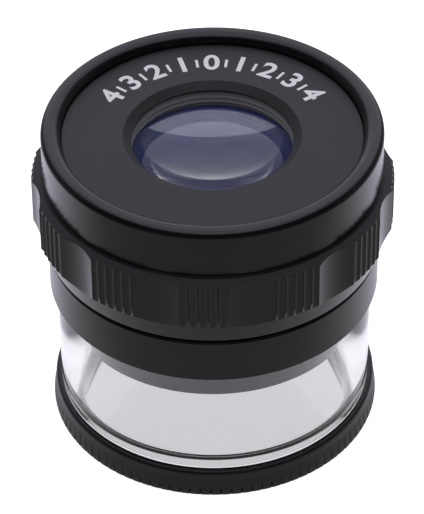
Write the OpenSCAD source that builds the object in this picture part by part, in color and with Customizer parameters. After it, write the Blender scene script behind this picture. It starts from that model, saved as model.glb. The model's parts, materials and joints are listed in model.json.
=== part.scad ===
// Measuring loupe: a focusing eyepiece on a clear stand with a scale glass in its foot.
// Origin at the centre of the foot, Z up along the optical axis, millimetres.
// Every piece is turned, so most are sections in the R-Z plane swept round the axis.
// Radii build outwards from the bore of the clear body, and heights upwards from the table.

/* [Clear body] */
// Bore radius of the clear body above its ledge
body_bore_r = 22; // [20:0.1:25]
// Wall thickness of the clear body
body_wall = 2.85; // [2.3:0.05:3.4]
// Clear wall that shows between the foot ring and the focusing sleeve
window_h = 19.4; // [15:0.1:26]
// How far the clear body reaches up into the focusing sleeve
body_in_sleeve = 5.6; // [4:0.1:7]
// How much the threaded spigot at the lower end is smaller in radius than the wall
spigot_step = 0.85; // [0.5:0.05:1.2]
// Length of that spigot
spigot_h = 2.7; // [2.4:0.1:4.5]
// How far the ledge at the foot of the bore stands in
ledge_w = 1.2; // [0.6:0.1:1.8]
// Height of the ledge's inner edge above the scale glass
ledge_up = 3.05; // [2:0.05:4]

/* [Scale glass] */
// Thickness of the scale glass
glass_t = 1.3; // [1:0.1:2]
// Thickness of the thin washer under the scale glass
washer_t = 0.2; // [0.1:0.05:0.4]

/* [Foot ring] */
// Wall thickness of the foot ring round the spigot
foot_wall = 1.7; // [1.3:0.05:2.4]
// How far the knurled foot flares out past the plain wall
foot_flare = 0.4; // [0.2:0.05:0.8]
// Height at which the flare begins
foot_flare_z = 3; // [2:0.1:3.8]
// Number of knurl notches round the foot
foot_notches = 100; // [40:2:120]
// Half width of one knurl notch at its open side
foot_notch_w = 0.55; // [0.3:0.05:0.7]
// Thickness of the lip under the scale glass
lip_t = 0.4; // [0.3:0.05:0.8]
// How far the lip reaches in under the scale glass
lip_w = 2.9; // [1.5:0.1:3.5]

/* [Focusing sleeve] */
// Wall thickness of the sleeve's collar round the clear body
collar_wall = 1.05; // [0.8:0.05:1.6]
// Thickness of the web that joins the collar to the neck
collar_web = 2.1; // [1.5:0.1:3]
// Wall thickness of the threaded neck inside the grip ring
neck_wall = 2.05; // [1.4:0.05:2.4]
// Height of the neck above the collar
neck_h = 8.3; // [7:0.1:10]
// Free height above the neck when the eyepiece is in its normal place
neck_gap = 1.5; // [1:0.1:2.5]

/* [Grip ring] */
// Wall of the grip ring, from its bore to the crests of its flutes
grip_wall = 3.4; // [3:0.05:4.5]
// Gap between the grip ring and the collar when the eyepiece is in its normal place
focus_gap = 0.6; // [0.5:0.05:1]
// Number of grip panels round the ring, each with one wide flute
grip_panels = 12; // [9:1:14]
// Number of narrow flutes beside each wide flute
fine_flutes = 5; // [4:1:6]
// Depth of the wide flutes
wide_flute_d = 0.87; // [0.7:0.01:1]
// Depth of the narrow flutes
fine_flute_d = 0.39; // [0.25:0.01:0.5]
// Share of one panel's angle that the wide flute takes
wide_flute_share = 0.5; // [0.4:0.05:0.55]
// Angle that the flutes stand turned by in the normal place
flute_turn = 4.2; // [0:0.1:30]
// Height of the plain band below the flutes
band_h = 3.5; // [2.5:0.1:5]
// Wall of that band at the ring's lower edge
band_wall = 1.6; // [1.2:0.05:2]
// Height of the sloped crown above the flutes' crests
crown_h = 0.65; // [0.3:0.05:1]
// Thickness of the grip ring's web between the barrel's flange and the cap
web_t = 2.3; // [1.6:0.1:3]

/* [Cap] */
// How far the cap's wall stands back behind the crests of the grip ring
cap_inset = 1.75; // [1.3:0.05:2]
// Height of the eyepiece cap
cap_h = 7.95; // [7:0.05:10]
// Rounding of the rim's outer edge
rim_outer_round = 1; // [0.6:0.05:1.5]
// Rounding of the rim's inner edge
rim_inner_round = 1.4; // [0.5:0.05:1.5]
// Width of the rim between the outside wall and the recess
rim_w = 3.05; // [2.95:0.05:3.8]
// Depth of the face plate below the rim's crest
recess_d = 1.65; // [1.5:0.05:2]

/* [Face plate] */
// Thickness of the face plate
plate_t = 1.1; // [1:0.1:1.6]
// Radius of the eye opening
eye_r = 12.45; // [11:0.05:13.5]
// Width of the bevel round the eye opening
eye_bevel_w = 1.3; // [0.4:0.05:1.4]
// Depth of the bevel round the eye opening
eye_bevel_d = 0.95; // [0.5:0.05:0.95]

/* [Lens barrel] */
// Gap between the barrel's plain lower end and the bore of the clear body
barrel_gap = 0.5; // [0.3:0.05:1]
// Wall thickness of the barrel round the lower lenses
barrel_wall = 1.9; // [1.75:0.05:2.2]
// How far the barrel hangs below the ring that holds the lenses in
barrel_skirt = 0.3; // [0.2:0.1:3]
// Thickness of the flange that the grip ring sits on
flange_t = 1.5; // [1:0.1:2]
// Thickness of the shelf between the eye lens and the spacer below it
shelf_t = 1.5; // [1.2:0.1:3]
// Wall of the barrel's top between its thread for the cap and the bore for the eye lens
spigot_wall = 6.05; // [4:0.05:6.5]

/* [Lenses] */
// Thickness of the eye lens at its edge
eye_lens_edge = 3.3; // [2.8:0.05:3.9]
// Radius of curvature of the eye lens's upper face
eye_lens_curve = 40; // [34:1:80]
// Radius of curvature of the eye lens's lower face
eye_lens_under = 55; // [50:1:90]
// Depth of the eye lens's crown below the top of the face plate
eye_lens_depth = 2; // [1.8:0.1:2.6]
// Thickness of the middle lens at its edge
middle_lens_edge = 2.4; // [2:0.1:4]
// Radius of curvature of the middle lens's upper face
middle_lens_curve = 50; // [46:1:120]
// Radius of curvature of the middle lens's lower face
middle_lens_under = 90; // [80:1:200]
// Thickness of the field lens at its edge
field_lens_edge = 3; // [2.5:0.1:5.5]
// Radius of curvature of the field lens's upper face
field_lens_curve = 38; // [36:1:80]
// Length of the spacer above the middle lens
upper_spacer_h = 3.9; // [3.6:0.1:5]
// Air gap between the crowns of the middle lens and the field lens
lens_gap = 0.8; // [0.6:0.1:3]
// Width of the flat seats that the spacers bear on
seat_w = 1.3; // [0.8:0.1:1.8]
// Height of the threaded ring that holds the lenses in
retainer_t = 6.1; // [2:0.1:6.5]
// Width of that ring, which also masks stray light
retainer_w = 4.25; // [2:0.05:5]

/* [Fits] */
// Radial clearance of screwed and turning fits
fit = 0.05; // [0.03:0.01:0.08]
// Clearance round the glass pieces
glass_fit = 0.1; // [0.05:0.01:0.15]
// Gap between the grip ring's bore and the neck
grip_fit = 0.5; // [0.3:0.05:0.8]
// Thickness of the drag ring's section
drag_w = 1.2; // [0.8:0.1:1.25]

/* [Hidden] */
$fn = 120;

// Small edges and steps
edge = 0.3;
fine_edge = 0.12;
over = 1;

// Radii, from the bore of the clear body outwards
body_r = body_bore_r + body_wall;
ledge_r = body_bore_r - ledge_w;
spigot_r = body_r - spigot_step;
glass_pocket_r = spigot_r - 1.5 * glass_fit;
glass_r = glass_pocket_r - glass_fit;
lip_r = glass_r - lip_w;
foot_bore_r = spigot_r + fit;
foot_r = foot_bore_r + foot_wall;
foot_knurl_r = foot_r + foot_flare;
notch_floor_r = foot_r + foot_flare / 10;
collar_bore_r = body_r + fit;
collar_r = collar_bore_r + collar_wall;
neck_step = 0.15;
neck_bore_r = body_bore_r + neck_step;
neck_r = neck_bore_r + neck_wall;
grip_bore_r = neck_r + grip_fit;
grip_r = grip_bore_r + grip_wall;
band_low_r = grip_bore_r + band_wall;
band_top_r = grip_r - wide_flute_d - fine_edge / 2;
cap_r = grip_r - cap_inset;
crown_step = 0.25;
crown_step_h = 0.3;
crown_r = cap_r + crown_step;
recess_r = cap_r - rim_w;
plate_r = recess_r - fit;

// Radii of the barrel and its lenses
barrel_r = body_bore_r - barrel_gap;
barrel_bore_r = barrel_r - barrel_wall;
thread_r = neck_bore_r - fit;
flange_step = 0.3;
flange_r = grip_bore_r - flange_step;
lower_lens_r = barrel_bore_r - glass_fit;
spacer_r = barrel_bore_r - fit;
spacer_bore_r = lower_lens_r - seat_w;
retainer_r = barrel_bore_r - fit - retainer_w;
ring_undercut = 0.45;
ring_drop = 0.35;
eye_seat_w = 1.85;
eye_lens_r = eye_r + eye_seat_w;
eye_pocket_r = eye_lens_r + fit;
shelf_r = eye_lens_r - seat_w;
barrel_spigot_r = eye_pocket_r + spigot_wall;
drag_mid_r = thread_r - drag_w / 2;
drag_groove_r = thread_r - drag_w - fit;
drag_room = 0.15;
drag_groove_w = drag_w + 2 * drag_room;

// Heights, from the table upwards
glass_z = lip_t + washer_t;
body_z = glass_z + glass_t;
foot_h = body_z + spigot_h;
foot_knurl_z = 0.9;
ledge_z = body_z + ledge_up;
sleeve_z = foot_h + window_h;
body_top = sleeve_z + body_in_sleeve;
collar_top = body_top + collar_web;
neck_top = collar_top + neck_h;
flange_z = neck_top + neck_gap;
flange_top = flange_z + flange_t;
grip_z = collar_top + focus_gap;
grip_top = flange_top + web_t;
flute_z = grip_z + band_h;
cap_top = grip_top + cap_h;
plate_top = cap_top - recess_d;
plate_z = plate_top - plate_t;
barrel_top = plate_z - fit;
ring_top = barrel_top - ring_drop;

// Heights of the lenses, from the eye downwards
eye_seat_z = plate_top - eye_lens_depth - cap_rise(eye_lens_curve, eye_lens_r) - eye_lens_edge;
ring_z = eye_lens_z(eye_r + ring_undercut);
shelf_z = eye_seat_z - shelf_t;
upper_spacer_z = shelf_z - upper_spacer_h;
middle_lens_z = upper_spacer_z - middle_lens_edge;
field_apex_z = middle_lens_z - cap_rise(middle_lens_under, spacer_bore_r) - lens_gap;
lower_spacer_z = field_apex_z - cap_rise(field_lens_curve, spacer_bore_r);
field_lens_z = field_apex_z - cap_rise(field_lens_curve, lower_lens_r) - field_lens_edge;
retainer_z = field_lens_z - retainer_t;
barrel_z = retainer_z - barrel_skirt;

// Barrel's thread and drag ring, which stay clear of the clear body at the lowest focus
thread_start = 1.4;
drag_land = 1.15;
thread_z = body_top + thread_start;
drag_groove_z = thread_z + drag_land;
drag_z = drag_groove_z + drag_groove_w / 2;

// Flutes round the grip ring
panel_angle = 360 / grip_panels;
wide_angle = panel_angle * wide_flute_share;
fine_angle = (panel_angle - wide_angle) / fine_flutes;

// Spanner holes and slots
ring_hole_r = 0.5;
ring_hole_d = 1;
retainer_slot_w = 1.2;
retainer_slot_d = 0.9;

// Rise of a spherical cap of the given curve over a circle of radius r
function cap_rise(curve, r) = curve - sqrt(curve * curve - r * r);

// Height of the eye lens's upper face at radius r
function eye_lens_z(r) = plate_top - eye_lens_depth - cap_rise(eye_lens_curve, r);

// Rectangle in the R-Z plane
module sec(r0, r1, z0, z1) {
    translate([r0, z0]) square([r1 - r0, z1 - z0]);
}

// Section of a lens: a flat edge with a spherical rise above it and below it, each over
// a radius of its own
module lens_section(r, z0, z1, upper, upper_r, under, under_r) {
    sec(0, r, z0, z1);
    if (upper > 0) intersection() {
        translate([0, z1 + cap_rise(upper, upper_r) - upper]) circle(r = upper, $fn = 360);
        sec(0, upper_r, z1 - fine_edge, z1 + upper);
    }
    if (under > 0) intersection() {
        translate([0, z0 - cap_rise(under, under_r) + under]) circle(r = under, $fn = 360);
        sec(0, under_r, z0 - under, z0 + fine_edge);
    }
}

// One flute cutter in plan: a circle whose arc spans the given angle at the crest and
// reaches the given depth below it
module flute(angle, depth) {
    half_chord = grip_r * sin(angle / 2);
    chord_r = grip_r * cos(angle / 2);
    below = depth - (grip_r - chord_r);
    flute_r = (half_chord * half_chord + below * below) / (2 * below);
    translate([grip_r - depth + flute_r, 0]) circle(r = flute_r, $fn = 72);
}

// Foot ring: plain wall, flared knurled foot, lip under the scale glass
module base_ring() {
    color("#26272a") difference() {
        rotate_extrude() polygon([
            [lip_r, 0],
            [foot_knurl_r - edge, 0],
            [foot_knurl_r, edge],
            [foot_knurl_r, foot_knurl_z],
            [foot_r, foot_flare_z],
            [foot_r, foot_h - edge / 2],
            [foot_r - edge / 2, foot_h],
            [foot_bore_r, foot_h],
            [foot_bore_r, body_z],
            [glass_pocket_r, body_z],
            [glass_pocket_r, lip_t],
            [lip_r, lip_t]]);
        translate([0, 0, -over]) linear_extrude(foot_flare_z + over)
            for (i = [0 : foot_notches - 1])
                rotate((i + 0.5) * 360 / foot_notches) polygon([
                    [notch_floor_r, 0],
                    [foot_knurl_r + foot_flare, foot_notch_w],
                    [foot_knurl_r + foot_flare, -foot_notch_w]]);
    }
}

// Thin washer that the scale glass is bedded on
module glass_washer() {
    color("#1a1a1a") rotate_extrude() sec(lip_r + edge / 2, glass_r, lip_t, glass_z);
}

// Scale glass: a flat disc in the foot
module scale_glass() {
    color("#dfe9ee", 0.4) translate([0, 0, glass_z]) cylinder(r = glass_r, h = glass_t);
}

// Clear body: thick tube with a threaded spigot, and a bevelled ledge in its bore
module clear_body() {
    color("#e8ebf2", 0.35) rotate_extrude() polygon([
        [ledge_r, body_z],
        [spigot_r, body_z],
        [spigot_r, foot_h],
        [body_r, foot_h],
        [body_r, body_top - edge],
        [body_r - edge, body_top],
        [body_bore_r, body_top],
        [body_bore_r, ledge_z + ledge_w],
        [ledge_r, ledge_z]]);
}

// Focusing sleeve: collar bonded over the clear body, with the neck the barrel screws in
module focus_sleeve() {
    color("#2b2c30") rotate_extrude() polygon([
        [collar_bore_r, sleeve_z],
        [collar_r - edge, sleeve_z],
        [collar_r, sleeve_z + edge],
        [collar_r, collar_top - edge],
        [collar_r - edge, collar_top],
        [neck_r, collar_top],
        [neck_r, neck_top - edge],
        [neck_r - edge, neck_top],
        [neck_bore_r, neck_top],
        [neck_bore_r, body_top],
        [collar_bore_r, body_top]]);
}

// Drag ring: a rubber ring in the barrel's groove that steadies the focus
module drag_ring() {
    color("#151515") rotate_extrude()
        translate([drag_mid_r, drag_z]) circle(r = drag_w / 2, $fn = 48);
}

// Lens barrel: threaded tube with a flange for the grip ring and a spigot for the cap
module lens_barrel() {
    color("#232427") rotate_extrude() polygon([
        [barrel_bore_r, barrel_z],
        [barrel_r, barrel_z],
        [barrel_r, thread_z],
        [thread_r, thread_z],
        [thread_r, drag_groove_z],
        [drag_groove_r, drag_groove_z],
        [drag_groove_r, drag_groove_z + drag_groove_w],
        [thread_r, drag_groove_z + drag_groove_w],
        [thread_r, flange_z],
        [flange_r, flange_z],
        [flange_r, flange_top],
        [barrel_spigot_r, flange_top],
        [barrel_spigot_r, barrel_top],
        [eye_pocket_r, barrel_top],
        [eye_pocket_r, eye_seat_z],
        [shelf_r, eye_seat_z],
        [shelf_r, shelf_z],
        [barrel_bore_r, shelf_z]]);
}

// Threaded ring with two spanner slots, which holds the lens stack in the barrel
module lens_retainer() {
    color("#1e1f22") difference() {
        rotate_extrude() sec(retainer_r, spacer_r, retainer_z, field_lens_z);
        translate([-barrel_bore_r, -retainer_slot_w / 2, retainer_z - over])
            cube([2 * barrel_bore_r, retainer_slot_w, retainer_slot_d + over]);
    }
}

// Field lens: flat below, domed above
module field_lens() {
    color("#cfe0ea", 0.4) rotate_extrude()
        lens_section(lower_lens_r, field_lens_z, field_lens_z + field_lens_edge,
                     field_lens_curve, lower_lens_r, 0, 0);
}

// Spacer between the field lens and the middle lens
module lower_spacer() {
    color("#1e1f22") rotate_extrude()
        sec(spacer_bore_r, spacer_r, lower_spacer_z, middle_lens_z);
}

// Middle lens: domed on both faces inside a ground flat rim
module middle_lens() {
    color("#cfe0ea", 0.4) rotate_extrude()
        lens_section(lower_lens_r, middle_lens_z, upper_spacer_z,
                     middle_lens_curve, spacer_bore_r, middle_lens_under, spacer_bore_r);
}

// Spacer between the middle lens and the barrel's shelf
module upper_spacer() {
    color("#1e1f22") rotate_extrude() sec(spacer_bore_r, spacer_r, upper_spacer_z, shelf_z);
}

// Eye lens: domed above, and domed below inside its flat seat
module eye_lens() {
    color("#b9c0e6", 0.4) rotate_extrude()
        lens_section(eye_lens_r, eye_seat_z, eye_seat_z + eye_lens_edge,
                     eye_lens_curve, eye_lens_r, eye_lens_under, shelf_r - glass_fit);
}

// Threaded ring that holds the eye lens down; its lower inside edge is undercut
module eye_lens_ring() {
    color("#17181a") difference() {
        rotate_extrude() polygon([
            [eye_r, ring_z + 2 * ring_undercut],
            [eye_r + ring_undercut, ring_z],
            [eye_lens_r, ring_z],
            [eye_lens_r, ring_top],
            [eye_r, ring_top]]);
        for (side = [-1, 1])
            translate([side * (eye_r + eye_lens_r) / 2, 0, ring_top - ring_hole_d])
                cylinder(r = ring_hole_r, h = 2 * ring_hole_d, $fn = 24);
    }
}

// Grip ring: sloped crown, fluted panels and a plain tapered band below them
module grip_ring() {
    color("#28292d") rotate(flute_turn) difference() {
        rotate_extrude() polygon([
            [grip_bore_r, grip_z],
            [band_low_r - edge, grip_z],
            [band_low_r, grip_z + edge],
            [band_top_r, flute_z],
            [grip_r, flute_z + grip_r - band_top_r],
            [grip_r, grip_top - crown_step_h - crown_h],
            [crown_r, grip_top - crown_step_h],
            [crown_r, grip_top],
            [barrel_spigot_r + fit, grip_top],
            [barrel_spigot_r + fit, flange_top],
            [grip_bore_r, flange_top]]);
        translate([0, 0, flute_z]) linear_extrude(grip_top)
            for (i = [0 : grip_panels - 1]) rotate(i * panel_angle) {
                rotate(wide_angle / 2) flute(wide_angle, wide_flute_d);
                for (j = [0 : fine_flutes - 1])
                    rotate(wide_angle + (j + 0.5) * fine_angle) flute(fine_angle, fine_flute_d);
            }
    }
}

// Eyepiece cap: turned shell with a rounded rim round the recess for the face plate
module eyepiece_cap() {
    color("#2a2b2f") rotate_extrude() {
        polygon([
            [barrel_spigot_r + fit, grip_top],
            [cap_r - fine_edge, grip_top],
            [cap_r, grip_top + fine_edge],
            [cap_r, cap_top - rim_outer_round],
            [cap_r - rim_outer_round, cap_top],
            [recess_r + rim_inner_round, cap_top],
            [recess_r, cap_top - rim_inner_round],
            [recess_r, plate_z],
            [barrel_spigot_r + fit, plate_z]]);
        translate([cap_r - rim_outer_round, cap_top - rim_outer_round])
            circle(r = rim_outer_round, $fn = 96);
        translate([recess_r + rim_inner_round, cap_top - rim_inner_round])
            circle(r = rim_inner_round, $fn = 96);
    }
}

// Face plate: flat disc with a bevelled eye opening
module face_plate() {
    color("#3a3a3f") rotate_extrude() polygon([
        [eye_r, plate_z],
        [plate_r, plate_z],
        [plate_r, plate_top - fine_edge],
        [plate_r - fine_edge, plate_top],
        [eye_r + eye_bevel_w, plate_top],
        [eye_r, plate_top - eye_bevel_d]]);
}

base_ring();
glass_washer();
scale_glass();
clear_body();
focus_sleeve();
drag_ring();
lens_barrel();
lens_retainer();
field_lens();
lower_spacer();
middle_lens();
upper_spacer();
eye_lens();
eye_lens_ring();
grip_ring();
eyepiece_cap();
face_plate();
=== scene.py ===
import bpy, bmesh, json, math
from mathutils import Matrix, Vector


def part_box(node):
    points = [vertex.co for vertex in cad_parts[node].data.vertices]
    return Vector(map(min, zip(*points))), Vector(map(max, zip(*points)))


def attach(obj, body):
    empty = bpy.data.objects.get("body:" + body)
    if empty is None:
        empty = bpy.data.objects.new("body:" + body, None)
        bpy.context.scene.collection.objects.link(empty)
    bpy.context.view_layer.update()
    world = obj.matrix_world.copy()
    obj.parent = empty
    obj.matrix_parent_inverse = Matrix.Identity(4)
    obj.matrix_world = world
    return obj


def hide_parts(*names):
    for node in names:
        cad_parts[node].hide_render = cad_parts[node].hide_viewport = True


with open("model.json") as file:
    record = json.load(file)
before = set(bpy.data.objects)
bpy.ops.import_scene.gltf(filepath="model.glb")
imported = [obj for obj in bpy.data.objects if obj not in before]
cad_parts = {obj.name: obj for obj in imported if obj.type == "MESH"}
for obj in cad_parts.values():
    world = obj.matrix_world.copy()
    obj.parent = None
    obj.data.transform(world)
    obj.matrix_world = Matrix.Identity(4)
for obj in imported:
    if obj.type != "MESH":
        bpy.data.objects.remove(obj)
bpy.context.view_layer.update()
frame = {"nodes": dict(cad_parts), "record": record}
nodes = frame["nodes"]
scene = bpy.context.scene
mm = 0.001
print("solids loaded:", len(nodes))

# camera at the photo's angle
view = {"elevation": 39.795, "roll": -0.596, "focalPixels": 3143.15, "distance": 497.08,
        "aimHeight": 27.07, "aimSide": 0.252, "frameWidth": 424, "sensor": 36, "near": 10, "far": 30000}

def addCamera(v):
    tilt = math.radians(v["elevation"])
    roll = math.radians(v["roll"])
    forward = Vector((0, math.cos(tilt), -math.sin(tilt)))
    side = Vector((1, 0, 0))
    upward = side.cross(forward)
    right = math.cos(roll) * side + math.sin(roll) * upward
    up = math.cos(roll) * upward - math.sin(roll) * side
    place = Vector((0, 0, v["aimHeight"])) - v["distance"] * forward - v["aimSide"] * side
    turned = Matrix((right, up, -forward)).transposed().to_4x4()
    turned.translation = place * mm
    data = bpy.data.cameras.new("loupeCamera")
    data.sensor_fit = "HORIZONTAL"
    data.sensor_width = v["sensor"]
    data.lens = v["focalPixels"] * v["sensor"] / v["frameWidth"]
    data.clip_start = v["near"] * mm
    data.clip_end = v["far"] * mm
    camera = bpy.data.objects.new("loupeCamera", data)
    camera.matrix_world = turned
    scene.collection.objects.link(camera)
    scene.camera = camera

addCamera(view)


# helpers for node trees: each takes sockets or plain values
def makeNode(tree, kind, **settings):
    node = tree.nodes.new(kind)
    for name, value in settings.items():
        setattr(node, name, value)
    return node

def feed(tree, socket, value):
    if isinstance(value, bpy.types.NodeSocket):
        tree.links.new(value, socket)
    else:
        socket.default_value = value

def fade(tree, value, span, levels=(0, 1), smooth=True):
    node = makeNode(tree, "ShaderNodeMapRange", interpolation_type="SMOOTHSTEP" if smooth else "LINEAR")
    feed(tree, node.inputs["Value"], value)
    for name, amount in zip(("From Min", "From Max", "To Min", "To Max"), (*span, *levels)):
        feed(tree, node.inputs[name], amount)
    return node.outputs["Result"]

def calculate(tree, operation, first, second=0, clamp=False):
    node = makeNode(tree, "ShaderNodeMath", operation=operation, use_clamp=clamp)
    feed(tree, node.inputs[0], first)
    feed(tree, node.inputs[1], second)
    return node.outputs[0]

def blend(tree, factor, first, second, kind="MIX"):
    node = makeNode(tree, "ShaderNodeMix", data_type="RGBA", blend_type=kind)
    for name, value in (("Factor", factor), ("A", first), ("B", second)):
        feed(tree, node.inputs[name], value if isinstance(value, bpy.types.NodeSocket) else (*value, 1))
    return node.outputs["Result"]

def splitOf(tree, vector):
    node = makeNode(tree, "ShaderNodeSeparateXYZ")
    feed(tree, node.inputs[0], vector)
    return node.outputs

# fine grain and soft patches, shared by every finish that isn't clear
grainNoise = {"fineScale": 4000, "fineDetail": 3, "cloudScale": 120, "cloudDetail": 2}

def buildGrain(g):
    group = bpy.data.node_groups.new("fineGrain", "ShaderNodeTree")
    layers = (("Scale", g["fineScale"], g["fineDetail"], "Height"),
              ("Cloud", g["cloudScale"], g["cloudDetail"], "Patches"))
    for given, scale, detail, result in layers:
        socket = group.interface.new_socket(given, in_out="INPUT", socket_type="NodeSocketFloat")
        socket.default_value = scale
        group.interface.new_socket(result, in_out="OUTPUT", socket_type="NodeSocketFloat")
    entry = makeNode(group, "NodeGroupInput")
    out = makeNode(group, "NodeGroupOutput")
    coords = makeNode(group, "ShaderNodeTexCoord")
    for given, scale, detail, result in layers:
        noise = makeNode(group, "ShaderNodeTexNoise")
        feed(group, noise.inputs["Vector"], coords.outputs["Object"])
        feed(group, noise.inputs["Scale"], entry.outputs[given])
        feed(group, noise.inputs["Detail"], detail)
        feed(group, out.inputs[result], noise.outputs["Fac"])
    return group

grainGroup = buildGrain(grainNoise)


# finishes that aren't clear: anodised blacks, the paler turned rings, and rubber
blackFinishes = {
    "cap_black": {"dark": (0.003, 0.003, 0.0033), "light": (0.005, 0.005, 0.0055), "rough": (0.20, 0.26),
                  "grain": 5000, "bump": 0.02, "ior": 1.46},
    "plate_black": {"dark": (0.018, 0.018, 0.019), "light": (0.023, 0.023, 0.024), "rough": (0.44, 0.52),
                    "grain": 7000, "bump": 0.06, "ior": 1.38},
    "grip_black": {"dark": (0.006, 0.006, 0.0062), "light": (0.009, 0.009, 0.0092), "rough": (0.20, 0.28),
                   "grain": 5000, "bump": 0.03, "ior": 1.47, "edge": 0.12, "topRough": 0.5},
    "sleeve_black": {"dark": (0.003, 0.003, 0.0035), "light": (0.006, 0.006, 0.0065), "rough": (0.24, 0.32),
                     "grain": 5000, "bump": 0.02},
    "base_black": {"dark": (0.003, 0.003, 0.0030), "light": (0.006, 0.006, 0.0060), "rough": (0.36, 0.46),
                   "grain": 5000, "bump": 0.02, "ior": 1.47},
    "barrel_black": {"dark": (0.015, 0.016, 0.025), "light": (0.021, 0.022, 0.034), "rough": (0.30, 0.40),
                     "grain": 5000, "bump": 0.02},
    "inner_black": {"dark": (0.006, 0.006, 0.007), "light": (0.009, 0.009, 0.010), "rough": (0.45, 0.60),
                    "grain": 5000, "bump": 0.03},
    "ring_black": {"dark": (0.25, 0.25, 0.24), "light": (0.32, 0.32, 0.305), "rough": (0.45, 0.55),
                   "grain": 5000, "bump": 0.03, "groove": 0.9},
    "rubber_black": {"dark": (0.010, 0.010, 0.010), "light": (0.016, 0.016, 0.016), "rough": (0.50, 0.65),
                     "grain": 3000, "bump": 0.05}}
# what a finish doesn't say itself, with edge and bumpHeight in millimetres, and the dark colour painted as
# shade in turned grooves
blackCommon = {"ior": 1.5, "edge": 0.08, "edgeSamples": 6, "bumpHeight": 0.02, "upwardSpan": (0.35, 0.6),
               "grooveShade": (0.45, 0.46, 0.42)}

def blackMaterial(name, finish):
    f = {**blackCommon, **finish}
    material = bpy.data.materials.new(name)
    material.use_nodes = True
    tree = material.node_tree
    shader = tree.nodes["Principled BSDF"]
    grain = makeNode(tree, "ShaderNodeGroup", node_tree=grainGroup)
    grain.inputs["Scale"].default_value = f["grain"]
    color = blend(tree, grain.outputs["Patches"], f["dark"], f["light"])
    roughness = fade(tree, grain.outputs["Patches"], (0, 1), f["rough"], smooth=False)
    if "topRough" in f:    # faces that look up are blasted matt
        facing = makeNode(tree, "ShaderNodeNewGeometry")
        upward = splitOf(tree, facing.outputs["Normal"])["Z"]
        roughness = fade(tree, upward, f["upwardSpan"], (roughness, f["topRough"]), smooth=False)
    if "groove" in f:    # painted shade of turned grooves: darker bands, one to every so many millimetres of height
        # a wave repeats every pi / (10 * its scale)
        coords = makeNode(tree, "ShaderNodeTexCoord")
        wave = makeNode(tree, "ShaderNodeTexWave", bands_direction="Z")
        wave.inputs["Scale"].default_value = math.pi / (10 * f["groove"] * mm)
        feed(tree, wave.inputs["Vector"], coords.outputs["Object"])
        # multiplies the colour by the painted groove shade in each band
        color = blend(tree, wave.outputs["Fac"], color, f["grooveShade"], "MULTIPLY")
    edge = makeNode(tree, "ShaderNodeBevel", samples=f["edgeSamples"])
    edge.inputs["Radius"].default_value = f["edge"] * mm
    bump = makeNode(tree, "ShaderNodeBump")
    for label, value in (("Strength", f["bump"]), ("Distance", f["bumpHeight"] * mm),
                         ("Height", grain.outputs["Height"]), ("Normal", edge.outputs["Normal"])):
        feed(tree, bump.inputs[label], value)
    for label, value in (("Base Color", color), ("Roughness", roughness), ("IOR", f["ior"]),
                         ("Normal", bump.outputs["Normal"])):
        feed(tree, shader.inputs[label], value)
    return material

# clear pieces: coating tints what the faces mirror, bloom is the blue veil on the eye lens
glassFinishes = {
    "clear_plastic": {"color": (0.975, 0.98, 1.0), "ior": 1.49, "rough": 0.04},
    "scale_glass": {"color": (0.985, 0.985, 1.0), "ior": 1.52},
    "lens_glass": {"color": (0.50, 0.505, 0.53), "ior": 1.55, "coating": (0.10, 0.11, 0.15)},
    "coated_glass": {"color": (0.97, 0.97, 0.98), "ior": 1.6, "coating": (0.36, 0.34, 0.36), "bloom": 0.30}}
glassCommon = {"rough": 0, "coating": (1, 1, 1), "bloom": 0, "bloomRough": 0.7,
               "bloomTint": (0.20, 0.27, 1.0)}

def glassMaterial(name, finish):
    f = {**glassCommon, **finish}
    material = bpy.data.materials.new(name)
    material.use_nodes = True
    shader = material.node_tree.nodes["Principled BSDF"]
    for label, value in (("Base Color", (*f["color"], 1)), ("Roughness", f["rough"]), ("IOR", f["ior"]),
                         ("Transmission Weight", 1), ("Specular Tint", (*f["coating"], 1)),
                         ("Sheen Weight", f["bloom"]), ("Sheen Roughness", f["bloomRough"]),
                         ("Sheen Tint", (*f["bloomTint"], 1))):
        shader.inputs[label].default_value = value
    return material

finishes = {name: blackMaterial(name, f) for name, f in blackFinishes.items()}
finishes.update({name: glassMaterial(name, f) for name, f in glassFinishes.items()})

slotOf = {entry["node"]: entry["material_slot"] for entry in frame["record"]["subparts"]}
for name, piece in nodes.items():
    piece.data.materials.clear()
    piece.data.materials.append(finishes[slotOf[name]])
print("finishes placed:", len(finishes))


# every new piece is welded, given its finish and handed to its body
def finishPiece(name, form, finish, body, weld=0.002):
    bmesh.ops.remove_doubles(form, verts=form.verts, dist=weld * mm)
    bmesh.ops.recalc_face_normals(form, faces=form.faces)
    mesh = bpy.data.meshes.new(name)
    form.to_mesh(mesh)
    form.free()
    piece = bpy.data.objects.new(name, mesh)
    scene.collection.objects.link(piece)
    mesh.materials.append(finishes[finish])
    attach(piece, body)
    return piece

# turned pieces: each corner of the outline has a radius, a height and its rounding, and the outline
# is spun once round
def turnedForm(outline, c):
    form = bmesh.new()
    corners = [form.verts.new((radius * mm, 0, height * mm)) for radius, height, rounding in outline]
    for i in range(len(corners)):
        form.edges.new((corners[i - 1], corners[i]))
    for corner, (radius, height, rounding) in zip(corners, outline):
        if rounding:
            bmesh.ops.bevel(form, geom=[corner], offset=rounding * mm, offset_type="OFFSET",
                            affect="VERTICES", segments=c["roundSteps"], profile=0.5, material=-1,
                            clamp_overlap=True)
    bmesh.ops.spin(form, geom=form.verts[:] + form.edges[:], cent=(0, 0, 0), axis=(0, 0, 1),
                   dvec=(0, 0, 0), angle=2 * math.pi, steps=c["turns"], use_merge=True,
                   use_duplicate=False)
    for face in form.faces:
        face.smooth = True
    return form

def turnedPiece(name, form, finish, node, sharpAngle=30):
    piece = finishPiece(name, form, finish, "base")
    piece.data.set_sharp_from_angle(angle=math.radians(sharpAngle))
    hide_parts(node)

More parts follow.
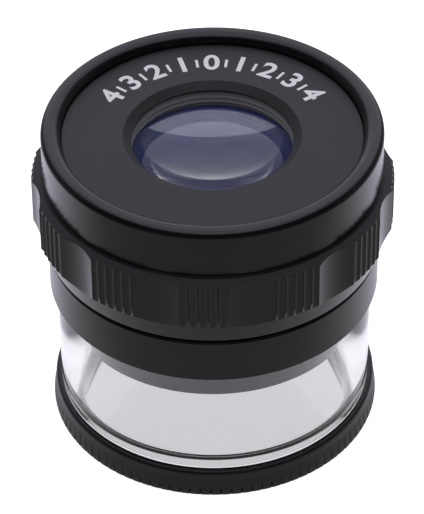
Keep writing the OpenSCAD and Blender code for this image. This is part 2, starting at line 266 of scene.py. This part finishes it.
# clear body: moulded, so its ledge and rims are rounded
clearBody = {"bore": 22, "outer": 24.85, "spigot": 24, "ledge": 20.8, "foot": 4.6, "ledgeHeight": 4.95,
             "ledgeRound": 1.0, "rimRound": 0.25, "air": 0.02, "roundSteps": 8, "turns": 288}

def buildClearBody(c):
    low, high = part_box("clear_body")
    # a film of air lies between the clear body and the black pieces that it rests on
    bottom = low[2] / mm + c["air"]
    top = high[2] / mm - c["air"]
    foot = c["foot"] + c["air"]
    coneTop = c["ledgeHeight"] + c["bore"] - c["ledge"]
    rim = c["rimRound"]
    outline = [(c["ledge"], bottom, 0), (c["spigot"], bottom, 0), (c["spigot"], foot, 0),
               (c["outer"], foot, rim), (c["outer"], top, rim), (c["bore"], top, rim),
               (c["bore"], coneTop, 0), (c["ledge"], c["ledgeHeight"], c["ledgeRound"])]
    form = turnedForm(outline, c)
    turnedPiece("clear_body_moulded", form, "clear_plastic", "clear_body")

# base ring: its upper edge is well rounded, and its knurl is shallow
baseRing = {"lip": 20.85, "lipHeight": 0.4, "pocket": 23.85, "seat": 1.9, "bore": 24.05, "wall": 25.75,
            "knurl": 26.15, "knurlHeight": 0.9, "flareHeight": 3.0, "height": 4.6, "topRound": 0.7,
            "edgeRound": 0.3, "notches": 100, "notchFloor": 25.9, "notchSlope": 1.4, "roundSteps": 5,
            "turns": 800}

def buildBaseRing(c):
    edge = c["edgeRound"]
    outline = [(c["lip"], 0, 0), (c["knurl"], 0, edge), (c["knurl"], c["knurlHeight"], edge),
               (c["wall"], c["flareHeight"], edge), (c["wall"], c["height"], c["topRound"]),
               (c["bore"], c["height"], 0), (c["bore"], c["seat"], 0), (c["pocket"], c["seat"], 0),
               (c["pocket"], c["lipHeight"], 0), (c["lip"], c["lipHeight"], 0)]
    form = turnedForm(outline, c)
    pitch = 2 * math.pi / c["notches"]
    # each groove is a V whose floor is deepest at the middle of its pitch
    for vert in form.verts:
        radius = math.hypot(vert.co.x, vert.co.y)
        across = abs((math.atan2(vert.co.y, vert.co.x) / pitch) % 1 - 0.5) * pitch * radius
        groove = c["notchFloor"] * mm + c["notchSlope"] * across
        if radius > groove:
            vert.co.xy *= groove / radius
    turnedPiece("base_ring_turned", form, "base_black", "base_ring")


# marks: plain numbers and ticks printed on the face plate, and a fine ruler under the scale glass
printFinish = {
    "print_white": {"dark": (0.80, 0.80, 0.80), "light": (0.90, 0.90, 0.90), "rough": (0.45, 0.60),
                    "grain": 9000, "bump": 0.10, "edge": 0.01},
    "scale_ink": {"dark": (0.010, 0.010, 0.012), "light": (0.020, 0.020, 0.022), "rough": (0.40, 0.55),
                  "grain": 9000, "bump": 0.05, "edge": 0.005}}
finishes.update({name: blackMaterial(name, f) for name, f in printFinish.items()})

def textMesh(words, size, bold, thick, curveSteps=6):
    curve = bpy.data.curves.new("words", "FONT")
    curve.body = words
    curve.size = size
    curve.offset = bold
    curve.extrude = thick / 2
    curve.align_x, curve.align_y = "CENTER", "CENTER"
    curve.resolution_u = curveSteps
    carrier = bpy.data.objects.new("words", curve)
    scene.collection.objects.link(carrier)
    bpy.context.view_layer.update()
    mesh = bpy.data.meshes.new_from_object(carrier.evaluated_get(bpy.context.evaluated_depsgraph_get()))
    bpy.data.objects.remove(carrier)
    bpy.data.curves.remove(curve)
    return mesh

def addBar(form, width, length, thick, place):
    made = bmesh.ops.create_cube(form, size=1)
    bmesh.ops.scale(form, vec=(width, length, thick), verts=made["verts"])
    bmesh.ops.transform(form, matrix=place, verts=made["verts"])

def addWords(form, words, size, bold, thick, place):
    mesh = textMesh(words, size, bold, thick)
    mesh.transform(place)
    form.from_mesh(mesh)
    bpy.data.meshes.remove(mesh)

dial = {"radius": 18.3, "digits": "432101234", "step": 14.4, "digitSize": 5.3, "bold": 0.12,
        "tick": (0.45, 2.0), "thick": 0.03}

def buildDial(d):
    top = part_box("face_plate")[1][2]
    form = bmesh.new()
    first = -d["step"] * (len(d["digits"]) - 1) / 2
    thick = d["thick"] * mm
    def placeAt(index):    # index 0.5 is halfway between the first two digits
        turn = Matrix.Rotation(-math.radians(first + index * d["step"]), 4, "Z")
        return Matrix.Translation((0, 0, top)) @ turn @ Matrix.Translation((0, d["radius"] * mm, 0))
    for i, digit in enumerate(d["digits"]):
        addWords(form, digit, d["digitSize"] * mm, d["bold"] * mm, thick, placeAt(i))
        if i < len(d["digits"]) - 1:
            addBar(form, d["tick"][0] * mm, d["tick"][1] * mm, thick, placeAt(i + 0.5))
    return finishPiece("dial_marks", form, "print_white", "focus_unit")

ruler = {"length": 20, "step": 0.5, "perMiddle": 2, "perLong": 10, "line": 0.06, "short": 0.8, "middle": 1.3,
         "long": 1.9, "digitSize": 1.8, "digitRise": 0.6, "thick": 0.01}

def buildRuler(r):
    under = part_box("scale_glass")[0][2]
    form = bmesh.new()
    level = Matrix.Translation((0, 0, under))
    line = r["line"] * mm
    thick = r["thick"] * mm
    addBar(form, r["length"] * mm, line, thick, level)
    numbersAt = r["long"] + r["digitSize"] * r["digitRise"]
    for i in range(round(r["length"] / r["step"]) + 1):
        x = -r["length"] / 2 + i * r["step"]
        isLong = i % r["perLong"] == 0
        isMiddle = i % r["perMiddle"] == 0
        length = r["long"] if isLong else r["middle"] if isMiddle else r["short"]
        addBar(form, line, length * mm, thick, level @ Matrix.Translation((x * mm, length / 2 * mm, 0)))
        if isLong:
            place = level @ Matrix.Translation((x * mm, numbersAt * mm, 0))
            addWords(form, str(round(i * r["step"])), r["digitSize"] * mm, 0, thick, place)
    return finishPiece("scale_marks", form, "scale_ink", "base")

buildClearBody(clearBody)
buildBaseRing(baseRing)
print("clear body and base ring built")
marks = [buildDial(dial), buildRuler(ruler)]
print("marks placed:", len(marks))


# studio: white floor, bright behind and straight above, dark at the sides and towards the camera
mirrorTint = (0.99, 0.97, 1.12)
white = (1, 1, 1)
black = (0, 0, 0)

# how bright the floor is to the camera, through glass and in glossy faces, and where that changes
studioFloor = {"size": 3000, "level": -0.01, "color": (0.8, 0.8, 0.8), "rough": 0.9, "seen": 0.9,
               "through": 0.61, "glow": (-45, 35), "mirrored": (0.4, 1.12), "far": (100, 150),
               "farLevel": 0.2}

def addFloor(f):
    form = bmesh.new()
    bmesh.ops.create_grid(form, x_segments=1, y_segments=1, size=f["size"] * mm)
    bmesh.ops.translate(form, vec=(0, 0, f["level"] * mm), verts=form.verts)
    mesh = bpy.data.meshes.new("floor")
    form.to_mesh(mesh)
    form.free()
    floor = bpy.data.objects.new("floor", mesh)
    scene.collection.objects.link(floor)
    material = bpy.data.materials.new("floor")
    material.use_nodes = True
    tree = material.node_tree
    path = makeNode(tree, "ShaderNodeLightPath").outputs
    seen = calculate(tree, "MULTIPLY", path["Is Camera Ray"], f["seen"])
    through = calculate(tree, "MULTIPLY", path["Is Transmission Ray"], f["through"])
    # a ray that passed through glass counts as glossy too, so it is taken out
    glossy = calculate(tree, "SUBTRACT", path["Is Glossy Ray"], path["Is Transmission Ray"], clamp=True)
    # what glossy surfaces see of the floor: brighter behind the object, darker in front and far off
    place = makeNode(tree, "ShaderNodeTexCoord").outputs["Object"]
    away = makeNode(tree, "ShaderNodeVectorMath", operation="LENGTH")
    feed(tree, away.inputs[0], place)
    glow = fade(tree, splitOf(tree, place)["Y"], [y * mm for y in f["glow"]], f["mirrored"])
    far = fade(tree, away.outputs["Value"], [reach * mm for reach in f["far"]], (1, f["farLevel"]))
    mirrored = calculate(tree, "MULTIPLY", calculate(tree, "MULTIPLY", glow, far), glossy)
    strength = calculate(tree, "ADD", calculate(tree, "ADD", seen, through), mirrored)
    tinted = fade(tree, mirrored, f["mirrored"], smooth=False)
    for label, value in (("Base Color", blend(tree, glossy, f["color"], black)),
                         ("Roughness", f["rough"]), ("Emission Strength", strength),
                         ("Emission Color", blend(tree, tinted, white, mirrorTint))):
        feed(tree, tree.nodes["Principled BSDF"].inputs[label], value)
    mesh.materials.append(material)

# soft panels, which only light and aren't seen
panels = {"backPanel": {"place": (0, 600, 550), "size": (1000, 500), "power": 1.6},
          "leftPanel": {"place": (-800, 100, 350), "size": (800, 500), "power": 0.8},
          "rightPanel": {"place": (800, 100, 350), "size": (800, 500), "power": 0.8}}
panelAim = Vector((0, 0, 30))

def addPanel(name, p):
    data = bpy.data.lights.new(name, "AREA")
    data.shape = "RECTANGLE"
    data.size = p["size"][0] * mm
    data.size_y = p["size"][1] * mm
    data.energy = p["power"]
    panel = bpy.data.objects.new(name, data)
    panel.location = Vector(p["place"]) * mm
    panel.rotation_euler = (panelAim - Vector(p["place"])).to_track_quat("-Z", "Y").to_euler()
    panel.visible_camera = panel.visible_glossy = panel.visible_transmission = False
    scene.collection.objects.link(panel)

# how bright each part of the sky is, by the direction's height, side and depth from -1 to 1
studioSky = {"fill": 0.42, "backdrop": 1.1, "foot": (0.0, 0.25), "footLevels": (0.35, 1.0),
             "top": (0.90, 0.985), "width": (0.36, 0.72), "sideLevel": 0.12, "front": (-0.15, 0.20),
             "above": (0.80, 0.95), "aboveLevels": (0.03, 1.3), "through": (0.25, 0.50), "throughTop": 0.58}

def addWorld(s):
    world = bpy.data.worlds.new("studio")
    scene.world = world
    world.use_nodes = True
    tree = world.node_tree
    sky = tree.nodes["Background"]
    direction = splitOf(tree, makeNode(tree, "ShaderNodeTexCoord").outputs["Generated"])
    height = direction["Z"]
    # the backdrop behind the object: dimmer near the table and at the sides, gone overhead and in front
    across = calculate(tree, "ABSOLUTE", direction["X"])
    shape = fade(tree, height, s["foot"], s["footLevels"])
    for limit in (fade(tree, height, s["top"], (1, 0)),
                  fade(tree, across, s["width"], (1, s["sideLevel"])),
                  fade(tree, direction["Y"], s["front"])):
        shape = calculate(tree, "MULTIPLY", shape, limit)
    # where it is gone, only the part straight above is bright
    above = fade(tree, height, s["above"], s["aboveLevels"])
    mirrored = fade(tree, shape, (0, 1), (above, s["backdrop"]), smooth=False)
    path = makeNode(tree, "ShaderNodeLightPath").outputs
    lit = fade(tree, path["Is Diffuse Ray"], (0, 1), (mirrored, s["fill"]), smooth=False)
    # white to the camera, and dimmer higher up where it is seen through glass
    direct = calculate(tree, "MAXIMUM", path["Is Camera Ray"], path["Is Transmission Ray"])
    through = fade(tree, height, s["through"], (1, s["throughTop"]))
    level = calculate(tree, "MAXIMUM", path["Is Camera Ray"], through)
    feed(tree, sky.inputs["Strength"], fade(tree, direct, (0, 1), (lit, level), smooth=False))
    feed(tree, sky.inputs["Color"], blend(tree, direct, mirrorTint, white))

addFloor(studioFloor)
for name, panel in panels.items():
    addPanel(name, panel)
addWorld(studioSky)
scene.view_settings.view_transform = "Standard"
print("studio placed")
